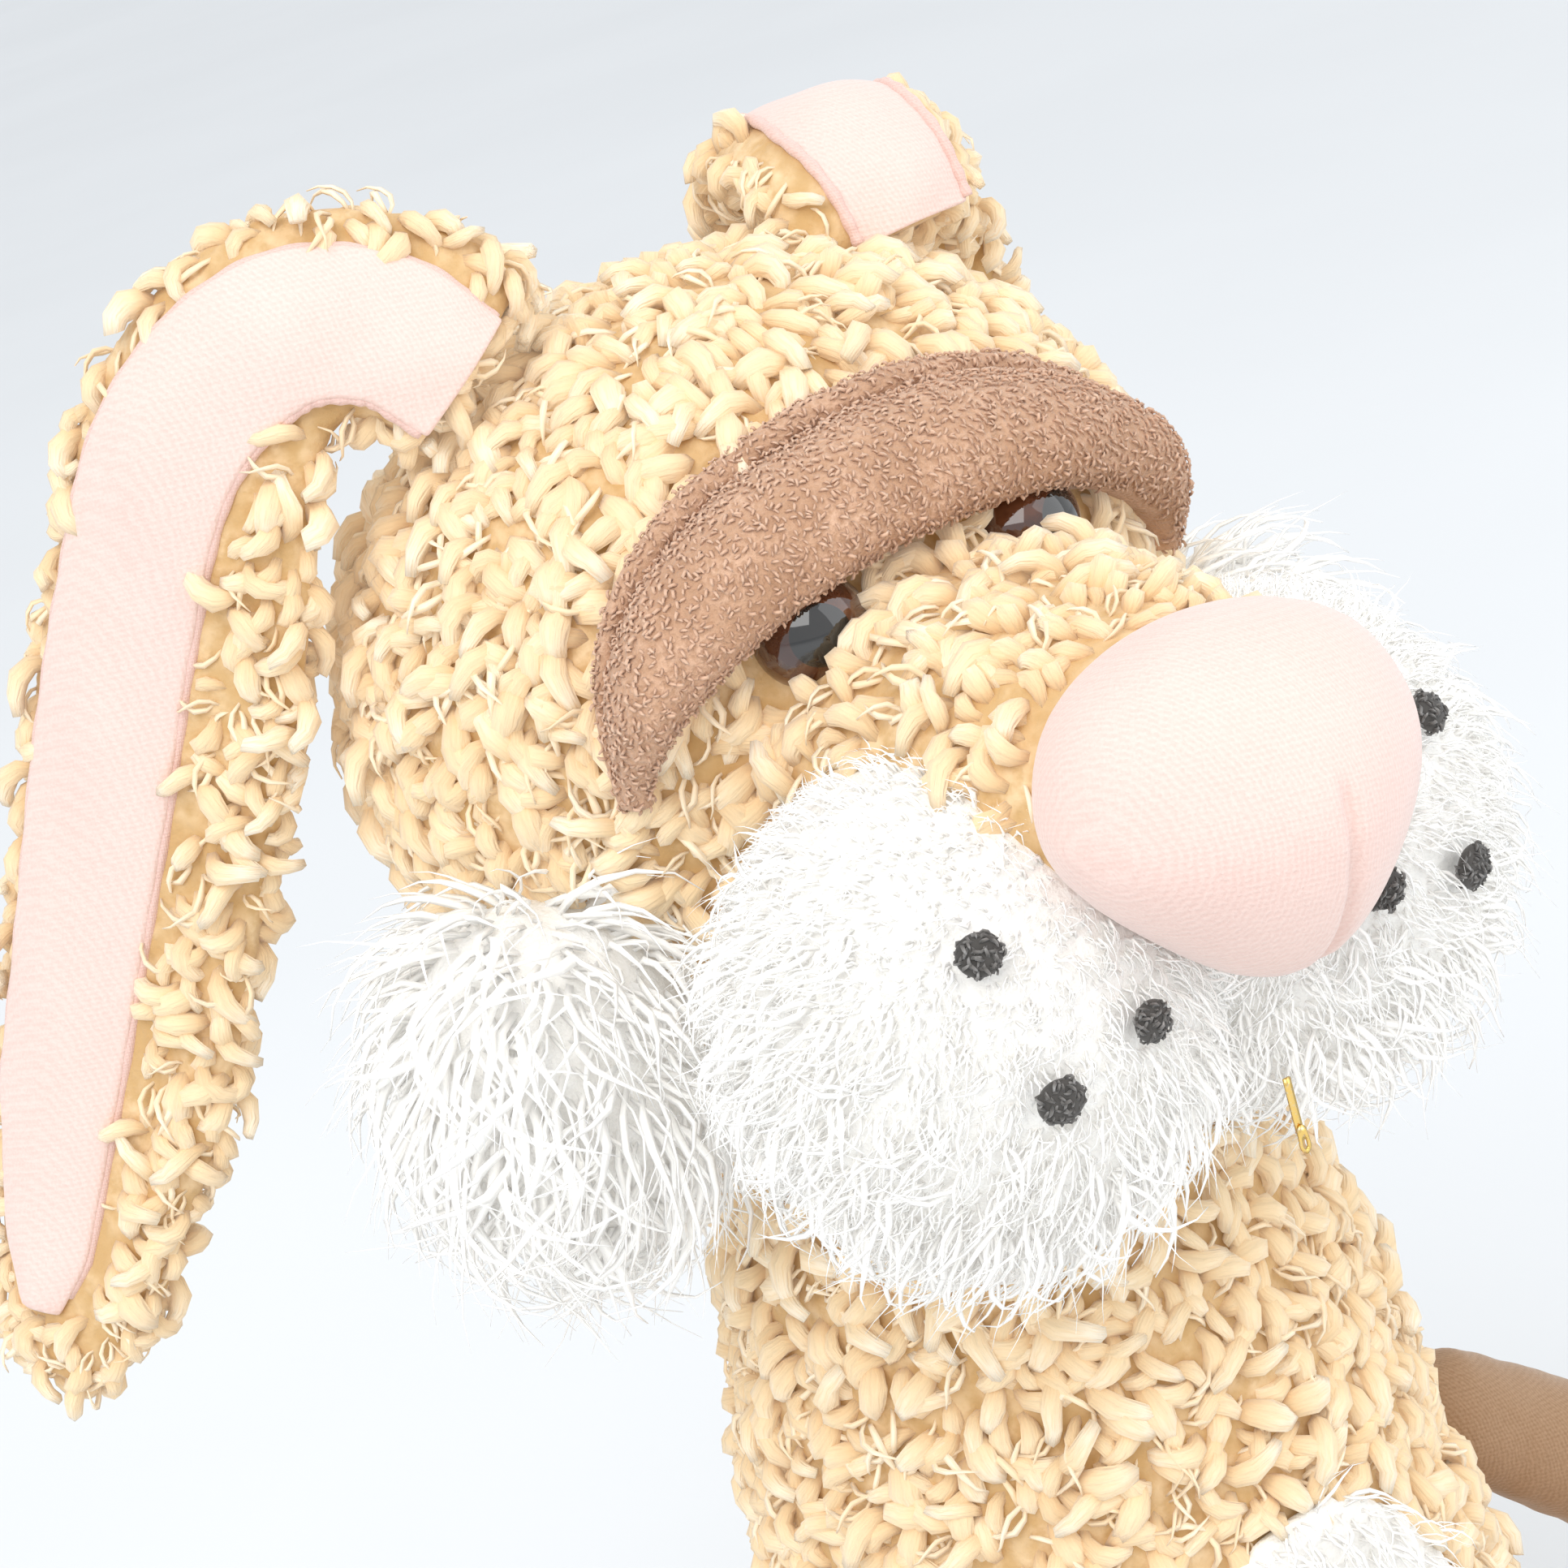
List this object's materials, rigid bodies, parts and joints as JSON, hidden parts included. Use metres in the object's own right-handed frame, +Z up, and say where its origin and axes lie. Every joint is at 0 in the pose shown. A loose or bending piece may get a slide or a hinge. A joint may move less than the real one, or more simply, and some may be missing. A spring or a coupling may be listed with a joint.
{
  "type": "plush rabbit",
  "caption": "Seated floppy-eared plush rabbit with a curly fleece coat, white furry muzzle and cheeks, pink nose and ear linings, half-closed padded eyelids and slim jersey limbs.",
  "frame": {"origin": "centre of the flat seat, on the surface that the rabbit sits on", "axes": "+Z up, -Y the way the rabbit faces, +X its left side"},
  "size_m": [0.3306, 0.2438, 0.2949],
  "materials": {
    "curly_fleece": "curly pile, honey and cream",
    "white_fur": "long soft pile, off-white",
    "pink_velour": "fine knitted velour, pale pink",
    "brown_terry": "short terry loops, warm brown",
    "brown_jersey": "smooth jersey, taupe brown",
    "eye_brown": "polished, dark brown",
    "eye_black": "polished, black",
    "dot_thread": "satin stitch, charcoal",
    "gilt_pin": "polished gilt",
    "washer_plastic": "natural white, moulded",
    "stuffing": "polyester fibre wadding",
    "pellet_cotton": "unbleached cotton bag",
    "label_satin": "blank white satin ribbon"
  },
  "bodies": {
    "torso": {"belly_patch": "white_fur", "body_cover": "curly_fleece", "body_stuffing": "stuffing", "care_label": "label_satin", "pellet_bag": "pellet_cotton", "tail": "white_fur"},
    "neck": {"neck_stuffing": "stuffing"},
    "head": {"cheek_ruff_left": "white_fur", "cheek_ruff_right": "white_fur", "eye_left": "eye_brown", "eye_right": "eye_brown", "eye_washer_left": "washer_plastic", "eye_washer_right": "washer_plastic", "eyelid_cover": "brown_terry", "eyelid_wadding": "stuffing", "head_cover": "curly_fleece", "head_stuffing": "stuffing", "muzzle_cover_left": "white_fur", "muzzle_cover_right": "white_fur", "muzzle_pin": "gilt_pin", "muzzle_stuffing_left": "stuffing", "muzzle_stuffing_right": "stuffing", "nose_cover": "pink_velour", "nose_stuffing": "stuffing", "pupil_left": "eye_black", "pupil_right": "eye_black", "whisker_dots_left": "dot_thread", "whisker_dots_right": "dot_thread"},
    "left_ear": {"ear_back_left": "curly_fleece", "ear_lining_left": "pink_velour"},
    "right_ear": {"ear_back_right": "curly_fleece", "ear_lining_right": "pink_velour"},
    "left_arm": {"arm_cover_left": "brown_jersey", "arm_stuffing_left": "stuffing"},
    "right_arm": {"arm_cover_right": "brown_jersey", "arm_stuffing_right": "stuffing"},
    "left_leg": {"leg_cover_left": "brown_jersey", "leg_stuffing_left": "stuffing", "foot_cover_left": "brown_jersey", "foot_stuffing_left": "stuffing", "sole_left": "pink_velour"},
    "right_leg": {"leg_cover_right": "brown_jersey", "leg_stuffing_right": "stuffing", "foot_cover_right": "brown_jersey", "foot_stuffing_right": "stuffing", "sole_right": "pink_velour"}
  },
  "joints": [
    {"name": "head_turn", "type": "hinge", "parent": "torso", "child": "neck", "pos_m": [0, 0, 0.18], "axis": [0, 0, 1], "range_deg": [-30, 30]},
    {"name": "head_nod", "type": "hinge", "parent": "neck", "child": "head", "pos_m": [0, 0, 0.18], "axis": [1, 0, 0], "range_deg": [-15, 12]},
    {"name": "left_ear_flap", "type": "hinge", "parent": "head", "child": "left_ear", "pos_m": [0.033, 0.0175, 0.278], "axis": [0.9915, -0.0812, 0.1018], "range_deg": [0, 60]},
    {"name": "right_ear_flap", "type": "hinge", "parent": "head", "child": "right_ear", "pos_m": [-0.031, 0.0175, 0.2745], "axis": [0.9439, -0.1016, 0.3143], "range_deg": [-20, 60]},
    {"name": "left_arm_swing", "type": "hinge", "parent": "torso", "child": "left_arm", "pos_m": [0.0571, -0.001, 0.091], "axis": [0, -1, 0], "range_deg": [-25, 110]},
    {"name": "right_arm_swing", "type": "hinge", "parent": "torso", "child": "right_arm", "pos_m": [-0.0571, -0.001, 0.091], "axis": [0, 1, 0], "range_deg": [-25, 110]},
    {"name": "left_leg_swing", "type": "hinge", "parent": "torso", "child": "left_leg", "pos_m": [0.031, -0.0605, 0.013], "axis": [-1, 0, 0], "range_deg": [-85, 60]},
    {"name": "right_leg_swing", "type": "hinge", "parent": "torso", "child": "right_leg", "pos_m": [-0.031, -0.0605, 0.013], "axis": [-1, 0, 0], "range_deg": [-85, 60]}
  ]
}
